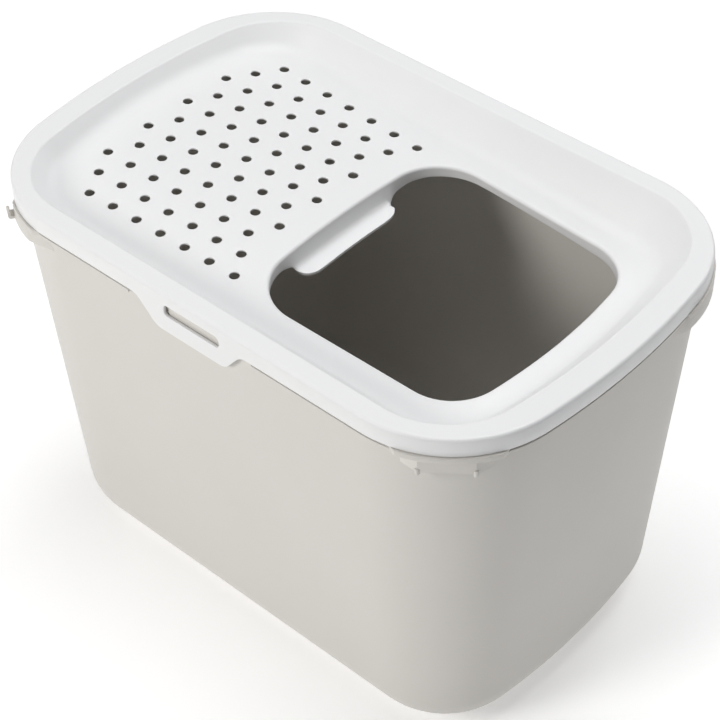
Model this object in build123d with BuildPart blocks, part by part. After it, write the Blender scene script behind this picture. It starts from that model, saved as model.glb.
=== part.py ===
"""Top entry litter box: a deep tapered bin and a dished, vented lid hinged along its back.

Millimetres.  X runs along the length, +X towards the entry end; -Y is the front, with the
latch; Z is up and z = 0 is the floor.  The origin is the middle of the bin's base.
"""
from build123d import *
import os
from math import asin, cos, degrees, radians, sin, sqrt, tan

# ---------------------------------------------------------------- overall
height = 395.0               # floor to the lid's crest
wall = 2.5                   # moulded wall of bin and lid
rest_gap = 0.3               # lid's skirt above the bin's ledge

# ---------------------------------------------------------------- lid, in plan and in section
lid_half_length = 290.0
lid_half_width = 189.5
lid_end_radius = 690.0       # gentle bow of the short ends
lid_corner_radius = 107.0
skirt_height = 17.0
skirt_edge_radius = 3.0      # outer top edge
crest_side = 18.5            # flat crest along the long sides
crest_end = 10.0             # flat crest across the short ends
dish_corner_radius = 78.0
dish_side_angle = 40.0       # cove's slope, measured from upright
dish_side_blend = 24.0       # cove into deck
deck_depth = 23.6            # crest down to the deck, in the middle of the lid
deck_slope = 1.7             # degrees, falling towards the entry end
deck_crown_radius = 2350.0   # deck is arched across its width

# ---------------------------------------------------------------- entry opening and its hand grip
entry_from_end = 68.0        # opening's far side to the lid's end
entry_half = 119.5           # along X, to the shoulder
entry_wide_half = 124.0      # along Y, at the vents' end
entry_narrow_half = 118.0    # and at the lid's end
entry_vent_bow_radius = 700.0
entry_end_bow_radius = 480.0
entry_vent_corner_radius = 60.0
entry_end_corner_radius = 50.0
entry_lip_depth = 10.8       # rim turned down round the opening
entry_lip_blend = 3.0
grip_half_width = 59.0       # along Y
grip_middle_y = -4.5         # set a little towards the front
grip_drop = 19.5             # deck down to the grip's shelf
grip_reach = 22.1            # shoulder to the shelf's free edge
grip_slant = 4.5             # how far the grip's back leans in
grip_bend_radius = 7.3
grip_corner_radius = 12.0

# ---------------------------------------------------------------- vents
vent_diameter = 8.0
vent_from_end = 66.1         # lid's end to the first vents
vent_from_entry = 25.5       # last vents to the opening
vent_row_pitch = 23.6        # along Y, in the middle of the field
vent_row_fan = 0.008         # rows draw together towards the entry, per mm
vent_rows = 11
vents_per_row = 7

# ---------------------------------------------------------------- latch
latch_x = -7.0
latch_depth = 20.7           # tab below the skirt
latch_top_half = 59.0
latch_bottom_half = 37.0
latch_corner_radius = 8.0
latch_root_radius = 10.0
latch_slot_x = -2.5
latch_slot_length = 62.0
latch_slot_height = 7.4
latch_slot_corner_radius = 2.8
latch_slot_drop = 16.3       # crest down to the slot's middle
catch_height = 4.5           # rib on the bin, behind the slot
catch_clearance = 0.5        # rib's face behind the tab's inner face
catch_end_gap = 3.0          # slot's end to the rib's end

# ---------------------------------------------------------------- bin
end_clearance = 7.0          # skirt's face to the bin's rim, at the short ends
side_clearance = 3.5         # and along the long sides
end_taper = 27.0             # rim to base, at the short ends
side_taper = 27.5            # and along the long sides
bin_top_end_radius = 800.0
bin_top_corner_radius = 108.0
bin_base_end_radius = 640.0
bin_base_corner_radius = 78.0
bin_base_blend = 48.0        # walls into floor
bin_floor = 3.0
upstand = 7.0                # bin's edge above its ledge, inside the skirt
ledge_thickness = 2.5
ledge_inset = 0.8            # ledge behind the skirt's face

corner_proud = 2.0           # corner ledges stand out past the skirt
corner_rim_depth = 5.5       # round rim of each corner ledge
corner_rim_half_angle = 25.0
grip_foot_depth = 16.5       # flat-faced finger grip under each corner ledge
grip_foot_half_angle = 13.0  # its flat face
grip_foot_root_half_angle = 22.5
grip_foot_thickness = 2.2
nub_diameter = 4.0           # small round stops at the flat face's two ends
nub_height = 5.0
nub_below = 1.0

rim_lug_angle = 218.0        # hook on the rim, round the front left corner
rim_lug_width = 10.0
rim_lug_reach = 6.5
rim_lug_height = 11.0
rim_lug_thickness = 2.6

# ---------------------------------------------------------------- hinge
hinge_x = 110.0              # two hinges, either side of the middle
hinge_back = 7.5             # pin's axis behind the skirt's face
hinge_drop = 11.0            # pin's axis below the skirt's lower edge
pin_diameter = 6.0
pin_head_diameter = 9.0
pin_head_thickness = 2.0
pin_run_clearance = 0.08     # radial, in the lid's knuckle
pin_ear_clearance = 0.02     # radial, in the bin's ears
knuckle_length = 24.0
knuckle_radius = 5.5
knuckle_side_gap = 0.3
arm_height = 7.0             # arm's root on the skirt
ear_thickness = 5.0
ear_radius = 6.5
ear_root_height = 22.0
stop_reach = 9.0             # open stop, behind the pin
stop_drop = 6.0              # and below it
stop_radius = 2.0

# ---------------------------------------------------------------- worked out from the above
skirt_bottom = height - skirt_height
ledge_top = skirt_bottom - rest_gap
ledge_bottom = ledge_top - ledge_thickness
bin_top = ledge_top + upstand
bin_top_half_length = lid_half_length - end_clearance
bin_top_half_width = lid_half_width - side_clearance
bin_base_half_length = bin_top_half_length - end_taper
bin_base_half_width = bin_top_half_width - side_taper
hinge_y = lid_half_width + hinge_back
hinge_z = skirt_bottom - hinge_drop
corner_y = lid_half_width - lid_corner_radius            # middle of the corner's arc, in plan
corner_x = (lid_half_length - lid_end_radius
            + sqrt((lid_end_radius - lid_corner_radius)**2 - corner_y**2))
corner_angle = 45 + degrees(asin(corner_y / (lid_end_radius - lid_corner_radius))) / 2
corner_reach = lid_corner_radius + corner_proud
deck_z = height - deck_depth
entry_x = lid_half_length - entry_from_end - entry_half      # middle of the opening
vent_room = entry_x - entry_half - vent_from_entry + lid_half_length - vent_from_end
vent_pitch = vent_room / (vents_per_row - 0.5)
vent_first_x = -lid_half_length + vent_from_end + vent_pitch  # first vent of the long rows
beyond = 60.0                # how far cutting shapes run past what they cut


def bowed_plan(level, half_length, half_width, end_radius, corner_radius, inset=0.0):
    """Sketch at a height: a rectangle with bowed short ends and round corners, drawn in by inset."""
    a, b = half_length - inset, half_width - inset
    bow, corner = end_radius - inset, corner_radius - inset
    side = a - bow + sqrt(bow**2 - b**2)
    with BuildSketch(Plane.XY.offset(level)) as plan:
        with BuildLine():
            Line((-side, -b), (side, -b))
            ThreePointArc((side, -b), (a, 0), (side, b))
            Line((side, b), (-side, b))
            ThreePointArc((-side, b), (-a, 0), (-side, -b))
        make_face()
        fillet(plan.vertices(), radius=corner)
    return plan.sketch


def lid_plan(level, inset=0.0):
    return bowed_plan(level, lid_half_length, lid_half_width, lid_end_radius, lid_corner_radius, inset)


def bin_plan(level, inset=0.0):
    """The bin's tapered wall, cut at a height."""
    share = level / bin_top
    top = (bin_top_half_length, bin_top_half_width, bin_top_end_radius, bin_top_corner_radius)
    base = (bin_base_half_length, bin_base_half_width, bin_base_end_radius, bin_base_corner_radius)
    sizes = [low + (high - low) * share for low, high in zip(base, top)]
    return bowed_plan(level, *sizes, inset)


def bin_form(floor_level, top_level, inset, blend):
    """The bin as a solid: a loft from floor to rim with its foot rounded."""
    with BuildPart() as form:
        loft([bin_plan(floor_level, inset), bin_plan(top_level, inset)], ruled=True)
        fillet(form.faces().sort_by(Axis.Z)[0].edges(), radius=blend)
    return form.part


def above_deck(lowered=0.0):
    """Everything over the deck's arched and sloping surface, or over one parallel to it."""
    reach = lid_half_length + beyond
    edge = lid_half_width + beyond
    section = Plane(origin=(0, 0, deck_z - lowered), x_dir=(0, 1, 0),
                    z_dir=(cos(radians(deck_slope)), 0, -sin(radians(deck_slope))))
    radius = deck_crown_radius - lowered
    sag = radius - sqrt(radius**2 - edge**2)
    with BuildPart() as over:
        with BuildSketch(section):
            with BuildLine():
                ThreePointArc((-edge, -sag), (0, 0), (edge, -sag))
                Polyline((edge, -sag), (edge, 2 * beyond), (-edge, 2 * beyond), (-edge, -sag))
            make_face()
        extrude(amount=reach, both=True)
    return over.part


def dish_form(grown=0.0):
    """The hollow of the lid's top, or the same shape grown outwards by the wall."""
    lean = tan(radians(dish_side_angle))
    sideways = grown / cos(radians(dish_side_angle))
    depth = deck_depth + beyond / 2
    lift = 5.0
    with BuildPart() as dish:
        top = (lid_half_length - crest_end + sideways + lift * lean,
               lid_half_width - crest_side + sideways + lift * lean)
        brim = bowed_plan(height + lift, *top, lid_end_radius, dish_corner_radius + sideways + lift * lean)
        foot = bowed_plan(height - depth, *[size - (depth + lift) * lean for size in top], lid_end_radius,
                          dish_corner_radius + sideways - depth * lean)
        loft([foot, brim], ruled=True)
        add(above_deck(grown), mode=Mode.INTERSECT)
        fillet(dish.faces().sort_by(Axis.Z)[0].edges(), radius=dish_side_blend + grown)
    return dish.part


def entry_prism(inset):
    """The entry opening, drawn in by inset, as a prism through the lid.

    Its ends are bowed and its sides draw together towards the lid's end.
    """
    vent_end, lid_end = entry_x - entry_half, entry_x + entry_half
    vent_sag = entry_vent_bow_radius - sqrt(entry_vent_bow_radius**2 - entry_wide_half**2)
    end_sag = entry_end_bow_radius - sqrt(entry_end_bow_radius**2 - entry_narrow_half**2)
    with BuildPart() as prism:
        with BuildSketch(Plane.XY.offset(deck_z - beyond)) as opening:
            with BuildLine():
                ThreePointArc((vent_end + vent_sag, entry_wide_half), (vent_end, 0),
                              (vent_end + vent_sag, -entry_wide_half))
                Line((vent_end + vent_sag, -entry_wide_half), (lid_end - end_sag, -entry_narrow_half))
                ThreePointArc((lid_end - end_sag, -entry_narrow_half), (lid_end, 0),
                              (lid_end - end_sag, entry_narrow_half))
                Line((lid_end - end_sag, entry_narrow_half), (vent_end + vent_sag, entry_wide_half))
            make_face()
            fillet(opening.vertices().sort_by(Axis.X)[:2], radius=entry_vent_corner_radius)
            fillet(opening.vertices().sort_by(Axis.X)[-2:], radius=entry_end_corner_radius)
            offset(amount=-inset)
        extrude(amount=2 * beyond)
    return prism.part


def vent_places():
    """Eleven rows of seven: long rows at the sides, the ones between set half a pitch over."""
    places = []
    middle = (vent_rows - 1) / 2
    for row in range(vent_rows):
        start = 0.0 if row in (0, vent_rows - 1) else (-1.0 if row % 2 == 0 else -0.5)
        for step in range(vents_per_row):
            x = vent_first_x + (start + step) * vent_pitch
            spacing = vent_row_pitch - vent_row_fan * (x - vent_first_x - 3 * vent_pitch)
            places.append((x, (row - middle) * spacing))
    return places


def grip_shelf():
    """The hand grip: the opening's lip carried down and curled in to a shelf, along the same bow."""
    back_x = entry_x - entry_half + wall / 2
    top_z = deck_z - wall / 2
    shelf_z = deck_z - grip_drop
    bow_axis = Axis((entry_x - entry_half + entry_vent_bow_radius, 0, 0), (0, 0, 1))
    half_sweep = degrees(asin(grip_half_width / entry_vent_bow_radius))
    aside = degrees(asin(grip_middle_y / entry_vent_bow_radius))
    with BuildPart() as grip:
        with BuildSketch(Plane.XZ):
            with BuildLine():
                FilletPolyline((back_x, top_z), (back_x + grip_slant, shelf_z),
                               (back_x + grip_reach - wall / 2, shelf_z), radius=grip_bend_radius)
            trace(line_width=wall)
        revolve(axis=bow_axis, revolution_arc=2 * half_sweep)
        free_edge = grip.faces().sort_by(Axis.X)[-1]
        fillet(free_edge.edges().filter_by(Axis.Z), radius=grip_corner_radius)
    return grip.part.rotate(bow_axis, -half_sweep - aside)


def corner_point(radius, angle):
    """A point round the corner at +X, +Y, in plan."""
    return (corner_x + radius * cos(radians(angle)), corner_y + radius * sin(radians(angle)))


def corner_wedge(level, depth, half_angle):
    """All that lies within an angle of the corner's middle, between two heights."""
    far = 2 * lid_corner_radius
    with BuildPart() as wedge:
        with BuildSketch(Plane.XY.offset(level)):
            with BuildLine():
                Polyline((corner_x, corner_y), corner_point(far, corner_angle - half_angle),
                         corner_point(far, corner_angle + half_angle), close=True)
            make_face()
        extrude(amount=depth)
    return wedge.part


def corner_foot(level, depth, inset):
    """The finger grip under a corner ledge: a flat face with two cheeks running back to the wall."""
    face, root = corner_reach - inset, lid_corner_radius - 2 * wall - inset
    flat, cheek = grip_foot_half_angle, grip_foot_root_half_angle
    with BuildPart() as foot:
        with BuildSketch(Plane.XY.offset(level)):
            with BuildLine():
                Polyline((corner_x, corner_y), corner_point(root, corner_angle - cheek),
                         corner_point(face, corner_angle - flat), corner_point(face, corner_angle + flat),
                         corner_point(root, corner_angle + cheek), close=True)
            make_face()
        extrude(amount=depth)
    return foot.part


def hinge_section(side, face):
    """A plane across the hinge at one side, face millimetres to the right of its middle."""
    return Plane(origin=(side * hinge_x + face, 0, 0), x_dir=(0, 1, 0), z_dir=(1, 0, 0))


def at_hinge(back, up):
    """A point by its distance behind and above the pin's axis."""
    return (hinge_y + back, hinge_z + up)


# ================================================================ bin
with BuildPart() as corner_ledge:
    extrude(lid_plan(ledge_top - corner_rim_depth, -corner_proud), amount=corner_rim_depth)
    extrude(lid_plan(ledge_top - corner_rim_depth, grip_foot_thickness - corner_proud),
            amount=corner_rim_depth - ledge_thickness, mode=Mode.SUBTRACT)
    add(corner_wedge(ledge_top - corner_rim_depth, corner_rim_depth, corner_rim_half_angle),
        mode=Mode.INTERSECT)
    foot_level = ledge_top - grip_foot_depth
    add(corner_foot(foot_level, grip_foot_depth - ledge_thickness, 0))
    add(corner_foot(foot_level, grip_foot_depth - ledge_thickness, grip_foot_thickness), mode=Mode.SUBTRACT)
    for end in (-1, 1):
        middle = corner_point(corner_reach - nub_diameter / 4, corner_angle + end * grip_foot_half_angle)
        with Locations((*middle, foot_level - nub_below + nub_height / 2)):
            Cylinder(nub_diameter / 2, nub_height)
    mirror(about=Plane.XZ)
    mirror(about=Plane.YZ)

with BuildPart() as ledge:
    extrude(lid_plan(ledge_bottom, ledge_inset), amount=ledge_thickness)
    # the latch tab and the two hinge arms pass through gaps in the ledge
    gap_depth = 2 * (wall + rest_gap + ledge_inset)
    with Locations((latch_x, -lid_half_width, ledge_bottom)):
        Box(2 * (latch_top_half + latch_root_radius), gap_depth, beyond, mode=Mode.SUBTRACT)
    with Locations(*[(side * hinge_x, lid_half_width, ledge_bottom) for side in (-1, 1)]):
        Box(knuckle_length + 2 * knuckle_side_gap, gap_depth, beyond, mode=Mode.SUBTRACT)

with BuildPart() as hinge_ears:
    for side in (-1, 1):
        inner = knuckle_length / 2 + knuckle_side_gap
        for face in (-inner - ear_thickness, inner):
            with BuildSketch(hinge_section(side, face)):
                with Locations(at_hinge(0, 0)):
                    Circle(ear_radius)
                with Locations(at_hinge(stop_reach, -stop_drop)):
                    Circle(stop_radius)
                with Locations((bin_top_half_width - 2 * wall, hinge_z - ear_root_height / 4)):
                    Rectangle(wall, ear_root_height)
                make_hull()
            extrude(amount=ear_thickness)
        # open stop: a bar from ear to ear, behind and below the pin
        with BuildSketch(hinge_section(side, -inner)):
            with Locations(at_hinge(stop_reach, -stop_drop)):
                Circle(stop_radius)
        extrude(amount=2 * inner)
        with BuildSketch(hinge_section(side, -inner - ear_thickness)):
            with Locations(at_hinge(0, 0)):
                Circle(pin_diameter / 2 + pin_ear_clearance)
        extrude(amount=2 * (inner + ear_thickness), mode=Mode.SUBTRACT)

with BuildPart() as rim_lugs:
    # an arm out of the rim with its end turned up
    across = Plane(origin=(-corner_x, -corner_y, ledge_top - grip_foot_depth),
                   x_dir=(cos(radians(rim_lug_angle)), sin(radians(rim_lug_angle)), 0),
                   z_dir=(-sin(radians(rim_lug_angle)), cos(radians(rim_lug_angle)), 0))
    start = corner_reach - grip_foot_thickness
    end = corner_reach + rim_lug_reach - rim_lug_thickness / 2
    with BuildSketch(across):
        with BuildLine():
            FilletPolyline((start, -rim_lug_height / 3), (end, -rim_lug_height / 3),
                           (end, -rim_lug_height), radius=rim_lug_thickness / 2 + 0.4)
        trace(line_width=rim_lug_thickness)
    extrude(amount=rim_lug_width / 2, both=True)
    mirror(about=Plane.XZ)

with BuildPart() as bin:
    add(bin_form(0, bin_top, 0, bin_base_blend))
    add(ledge.part)
    add(corner_ledge.part)
    add(hinge_ears.part)
    add(rim_lugs.part)
    # catch rib behind the latch tab's slot
    catch_length = latch_slot_length - 2 * catch_end_gap
    catch_face = lid_half_width - wall - catch_clearance
    with Locations((latch_slot_x, -catch_face + wall, height - latch_slot_drop)):
        Box(catch_length, 2 * wall, catch_height)
    add(bin_form(bin_floor, bin_top + 1, wall, bin_base_blend - wall), mode=Mode.SUBTRACT)

bin.part.label = "bin"

# ================================================================ lid
with BuildPart() as crest:
    extrude(lid_plan(skirt_bottom), amount=skirt_height)
    fillet(crest.faces().sort_by(Axis.Z)[-1].edges(), radius=skirt_edge_radius)

with BuildPart() as under_crest:
    extrude(lid_plan(skirt_bottom - beyond, wall), amount=skirt_height - wall + beyond)
    add(dish_form(wall), mode=Mode.SUBTRACT)

with BuildPart() as entry_lip:
    add(entry_prism(entry_lip_blend - wall))
    add(entry_prism(entry_lip_blend), mode=Mode.SUBTRACT)
    add(above_deck(entry_lip_depth), mode=Mode.INTERSECT)
    add(above_deck(wall / 2), mode=Mode.SUBTRACT)

with BuildPart() as latch_tab:
    with BuildSketch(Plane.XZ.offset(lid_half_width)) as outline:
        root = skirt_bottom + wall
        shoulder = latch_top_half + 2 * latch_root_radius
        with BuildLine():
            Polyline((latch_x - shoulder, root), (latch_x - shoulder, skirt_bottom),
                     (latch_x - latch_top_half, skirt_bottom),
                     (latch_x - latch_bottom_half, skirt_bottom - latch_depth),
                     (latch_x + latch_bottom_half, skirt_bottom - latch_depth),
                     (latch_x + latch_top_half, skirt_bottom),
                     (latch_x + shoulder, skirt_bottom), (latch_x + shoulder, root), close=True)
        make_face()
        by_height = outline.vertices().group_by(Axis.Y)
        fillet(by_height[0], radius=latch_corner_radius)
        fillet(outline.vertices().group_by(Axis.Y)[-2].sort_by(Axis.X)[1:-1], radius=latch_root_radius)
    extrude(amount=-wall)

with BuildPart() as hinge_arms:
    for side in (-1, 1):
        with BuildSketch(hinge_section(side, -knuckle_length / 2)):
            with Locations(at_hinge(0, 0)):
                Circle(knuckle_radius)
            with Locations((lid_half_width - wall / 2, skirt_bottom + 1 + arm_height / 2)):
                Rectangle(wall, arm_height)
            make_hull()
            with Locations(at_hinge(0, 0)):
                Circle(pin_diameter / 2 + pin_run_clearance, mode=Mode.SUBTRACT)
        extrude(amount=knuckle_length)

with BuildPart() as lid:
    add(dish_form(wall))
    split(bisect_by=Plane.XY.offset(height - wall), keep=Keep.BOTTOM)
    add(crest.part)
    add(under_crest.part, mode=Mode.SUBTRACT)
    add(dish_form(), mode=Mode.SUBTRACT)
    add(entry_prism(entry_lip_blend), mode=Mode.SUBTRACT)
    add(entry_lip.part)
    add(grip_shelf())
    add(latch_tab.part)
    add(hinge_arms.part)
    with BuildSketch(Plane.XZ.offset(lid_half_width + wall)):
        with Locations((latch_slot_x, height - latch_slot_drop)):
            RectangleRounded(latch_slot_length, latch_slot_height, latch_slot_corner_radius)
    extrude(amount=-3 * wall, mode=Mode.SUBTRACT)
    with BuildSketch(Plane.XY.offset(deck_z - beyond / 2)):
        with Locations(*vent_places()):
            Circle(vent_diameter / 2)
    extrude(amount=beyond, mode=Mode.SUBTRACT)

lid.part.label = "lid"

# ================================================================ hinge pins
pin_length = knuckle_length + 2 * (knuckle_side_gap + ear_thickness)
pins = {}
for name, side in (("hinge_pin_left", -1), ("hinge_pin_right", 1)):
    with BuildPart() as pin:
        outer = side * pin_length / 2
        with BuildSketch(hinge_section(side, -outer)):
            with Locations(at_hinge(0, 0)):
                Circle(pin_diameter / 2)
        extrude(amount=side * pin_length)
        with BuildSketch(hinge_section(side, outer)):
            with Locations(at_hinge(0, 0)):
                Circle(pin_head_diameter / 2)
        extrude(amount=side * pin_head_thickness)
    pin.part.label = name
    pins[name] = pin

os.makedirs("parts", exist_ok=True)
export_step(bin.part, "parts/bin.step")
export_step(lid.part, "parts/lid.step")
for name, pin in pins.items():
    export_step(pin.part, f"parts/{name}.step")
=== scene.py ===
# %% [markdown]
# # A top entry litter box
# The real object is two large plastic mouldings: a deep, tapered bin in warm grey, and a white lid
# that is dished like a shallow tray, pierced by small vents and cut open at one end for the cat.
# The imported model fixes the overall size, so the first cell loads it.

# %% Load the fixed frame
from functools import partial
from math import asin, atan, cos, hypot, pi, radians, sin, sqrt, tan

import bmesh
import bpy
import numpy as np
from mathutils import Matrix, Vector
from mathutils.geometry import convex_hull_2d, delaunay_2d_cdt


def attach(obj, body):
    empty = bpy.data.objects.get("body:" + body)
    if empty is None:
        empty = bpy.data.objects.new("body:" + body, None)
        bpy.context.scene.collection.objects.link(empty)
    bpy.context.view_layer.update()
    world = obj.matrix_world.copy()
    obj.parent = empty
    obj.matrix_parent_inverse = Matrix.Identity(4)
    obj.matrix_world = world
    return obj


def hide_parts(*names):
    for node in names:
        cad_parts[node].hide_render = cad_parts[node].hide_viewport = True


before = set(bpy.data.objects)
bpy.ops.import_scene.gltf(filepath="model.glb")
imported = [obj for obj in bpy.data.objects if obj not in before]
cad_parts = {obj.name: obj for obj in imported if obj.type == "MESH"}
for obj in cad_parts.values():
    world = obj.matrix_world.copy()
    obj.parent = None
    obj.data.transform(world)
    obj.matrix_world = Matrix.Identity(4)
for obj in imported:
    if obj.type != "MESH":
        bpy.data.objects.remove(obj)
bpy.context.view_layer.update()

# %% [markdown]
# ## The camera
# The photograph was taken with a long lens, from high above the front right corner. The lens, place
# and small roll below were worked out from where the rim and the vents fall in it. A camera in
# Blender looks along its own -Z with +Y up, so its matrix is built from those three directions.

# %% Place the camera
scene = bpy.context.scene
azimuth, elevation, roll = radians(42.89), radians(42.71), radians(-1.33)
aim, distance = Vector((-0.0070, 0.0111, 0.200)), 1.847
lens_in_pixels, photo_width = 2042, 720            # the lens, measured in the photograph's pixels
back = Vector((sin(azimuth) * cos(elevation), -cos(azimuth) * cos(elevation), sin(elevation)))
right = (-back).cross(Vector((0, 0, 1))).normalized()
down = (-back).cross(right)
rolled_right = cos(roll) * right - sin(roll) * down
rolled_down = sin(roll) * right + cos(roll) * down
camera = bpy.data.objects.new("camera", bpy.data.cameras.new("camera"))
scene.collection.objects.link(camera)
turn = Matrix((rolled_right, -rolled_down, back)).transposed().to_4x4()
camera.matrix_world = Matrix.Translation(aim + back * distance) @ turn
camera.data.sensor_width = 36.0
camera.data.lens = camera.data.sensor_width * lens_in_pixels / photo_width
camera.data.clip_start, camera.data.clip_end = 0.05, 50
scene.camera = camera
print("camera lens", round(camera.data.lens, 1), "mm at", [round(v, 3) for v in camera.location])

# %% [markdown]
# ## The sizes that the shapes share
# These are the mouldings' own sizes in millimetres. Most are the ones that the solids were drawn
# with. The crest's ends, the opening, the vents and the latch were fitted more closely to the
# photograph. Meshes are worked out in millimetres, which are easier to read, and made in metres.

# %% Name the sizes
MM = 0.001
height, wall = 395.0, 2.5
skirt_bottom, skirt_edge = 378.0, 3.0             # the lid's lower edge, and its round outer top edge
ledge_top, ledge_thickness = 377.7, 2.5
bin_top, bin_foot = 384.7, 48.0
lid_plan = (290.0, 189.5, 690.0, 107.0)          # half length, half width, end radius, corner radius
crest_plan = (266.0, 171.0, 690.0, 75.0)
bin_top_plan = (283.0, 186.0, 800.0, 108.0)
bin_base_plan = (256.0, 158.5, 640.0, 78.0)
cove_lean, cove_blend, crest_round = radians(40), 24.0, 3.0
deck_z, deck_tilt, deck_radius = 371.4, radians(1.7), 2350.0
entry_x, entry_half = 102.5, 119.5                # the opening: its middle, and half its length
entry_wide, entry_narrow = 124.5, 118.0           # half widths at the vents' end and the lid's end
entry_bows, entry_corners = (1500.0, 480.0), (52.0, 50.0)
hinge_y, hinge_z, hinge_x = 197.0, 367.0, 110.0


def deck_height(x, y):
    """The deck's surface: arched across the width, and falling towards the entry end."""
    sag = deck_radius - np.sqrt(deck_radius**2 - y * y)
    return deck_z - x * tan(deck_tilt) - sag / cos(deck_tilt)


print("deck falls from", round(float(deck_height(-250, 0)), 1), "to", round(float(deck_height(250, 0)), 1))

# %% [markdown]
# ## Outlines
# Both mouldings have the same kind of outline in plan: straight long sides, gently bowed short ends
# and round corners. A bought-in rounded rectangle can't bow its ends, and scaling one would spoil the
# corner radii. So the outline is drawn from arcs that touch, always with the same number of points,
# and any two outlines can then be joined by a strip of quads.

# %% Draw an outline
side_steps, corner_steps, end_steps = 36, 24, 14


def bowed_outline(plan):
    """Points anticlockwise from the front left, and the outward direction at each."""
    half_length, half_width, end_radius, corner_radius = plan
    corner_y = half_width - corner_radius
    bow_x = half_length - end_radius
    corner_x = bow_x + sqrt((end_radius - corner_radius)**2 - corner_y**2)
    touch = asin(corner_y / (end_radius - corner_radius))
    points, outward = [], []

    def straight(x0, x1, y):
        for step in range(side_steps):
            points.append((x0 + (x1 - x0) * step / side_steps, y))
            outward.append((0, np.sign(y)))

    def arc(x, y, radius, start, stop, steps):
        for step in range(steps):
            angle = start + (stop - start) * step / steps
            points.append((x + radius * cos(angle), y + radius * sin(angle)))
            outward.append((cos(angle), sin(angle)))

    straight(-corner_x, corner_x, -half_width)
    arc(corner_x, -corner_y, corner_radius, -pi / 2, -touch, corner_steps)
    arc(bow_x, 0, end_radius, -touch, touch, end_steps)
    arc(corner_x, corner_y, corner_radius, touch, pi / 2, corner_steps)
    straight(corner_x, -corner_x, half_width)
    arc(-corner_x, corner_y, corner_radius, pi / 2, pi - touch, corner_steps)
    arc(-bow_x, 0, end_radius, pi - touch, pi + touch, end_steps)
    arc(-corner_x, -corner_y, corner_radius, pi + touch, 1.5 * pi, corner_steps)
    return np.array(points, float), np.array(outward, float)


def drawn_in(plan, inset):
    """The same plan, smaller all round."""
    return tuple(size - inset for size in plan)


def rounded(corners, radii, reach=3.0):
    """A polygon with its corners rounded, each by its own radius, as a list of points."""
    out, count = [], len(corners)
    for i, (corner, radius) in enumerate(zip(corners, radii)):
        here = Vector(corner)
        before, after = Vector(corners[i - 1]) - here, Vector(corners[(i + 1) % count]) - here
        if radius <= 0:
            out.append(tuple(here))
            continue
        before.normalize()
        after.normalize()
        half = before.angle(after) / 2
        middle = here + (before + after).normalized() * (radius / sin(half))
        start = here + before * (radius / tan(half)) - middle
        turned = start.angle_signed(here + after * (radius / tan(half)) - middle)
        steps = max(4, int(abs(turned) * radius / reach) + 1)
        for step in range(steps + 1):
            angle = -turned * step / steps
            out.append(tuple(middle + Matrix.Rotation(angle, 2) @ start))
    return out


lid_points, lid_outward = bowed_outline(lid_plan)
print("outline of the lid:", len(lid_points), "points")

# %% [markdown]
# ## Filling and thickening
# A flat panel with holes is filled with triangles round its outlines, which is what a constrained
# Delaunay fill does. Each moulding is then drawn as its outer skin only, and given a wall of even
# thickness afterwards, as the real mould does. Solidify could do that, but it would flare the rims
# of the small vents, so the wall is made here. It marks the free edges for a small bevel.

# %% Fill a flat panel
def crossings_odd(places, loops):
    """Which places lie inside the outlines: a line from such a place crosses them an odd number of times."""
    inside = np.zeros(len(places), bool)
    for loop in loops:
        a = np.asarray(loop, float)
        b = np.roll(a, -1, axis=0)
        for (ax, ay), (bx, by) in zip(a, b):
            if ay == by:
                continue
            over = (places[:, 1] > min(ay, by)) & (places[:, 1] <= max(ay, by))
            inside ^= over & (places[:, 0] < ax + (places[:, 1] - ay) * (bx - ax) / (by - ay))
    return inside


def fill(outer, holes=(), inner=(), keep_off=0.0):
    """Points and triangles of a flat panel. Inner points too near an outline are left out."""
    loops = [np.asarray(loop, np.float32).astype(float) for loop in (outer, *holes)]
    edge_points = np.vstack(loops)
    inner = np.asarray(inner, float).reshape(-1, 2)
    if len(inner):
        far = np.array([np.min(np.hypot(*(edge_points - p).T)) > keep_off for p in inner])
        inner = inner[far & crossings_odd(inner, loops)]
    edges, first = [], 0
    for loop in loops:
        edges += [(first + i, first + (i + 1) % len(loop)) for i in range(len(loop))]
        first += len(loop)
    points = [Vector(p) for p in np.vstack([edge_points, inner])]
    made, _, faces, *_ = delaunay_2d_cdt(points, edges, [], 0, 1e-6)
    made = np.array([tuple(p) for p in made])
    faces = np.array([tuple(f) for f in faces])
    return made, faces[crossings_odd(made[faces].mean(1), loops)]


print("a square fills with", len(fill([(0, 0), (1, 0), (1, 1), (0, 1)])[1]), "triangles")


# %% Gather patches into a skin, and give it a wall
class Skin:
    """Patches of points and faces, in millimetres, welded into one mesh at the end."""

    def __init__(self):
        self.points, self.faces = [], []

    def add(self, points, faces):
        first = len(self.points)
        self.points += [tuple(p) for p in points]
        self.faces += [tuple(int(i) + first for i in face) for face in faces]
        return self

    def strip(self, rows, closed=True, skip=lambda column: False):
        """Quads between rows of points that all have the same count."""
        width = len(rows[0])
        columns = [c for c in range(width if closed else width - 1) if not skip(c)]
        faces = [(r * width + c, r * width + (c + 1) % width, (r + 1) * width + (c + 1) % width,
                  (r + 1) * width + c) for r in range(len(rows) - 1) for c in columns]
        return self.add([p for row in rows for p in row], faces)

    def weld(self, gap=0.02):
        """One bmesh of all the patches, joined where their points meet."""
        body = bmesh.new()
        corners = [body.verts.new(p) for p in self.points]
        for face in self.faces:
            if len(set(face)) > 2:
                body.faces.new([corners[i] for i in face])
        bmesh.ops.remove_doubles(body, verts=body.verts, dist=gap)
        bmesh.ops.delete(body, geom=[v for v in body.verts if not v.link_faces], context="VERTS")
        bmesh.ops.recalc_face_normals(body, faces=body.faces)
        return body


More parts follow.
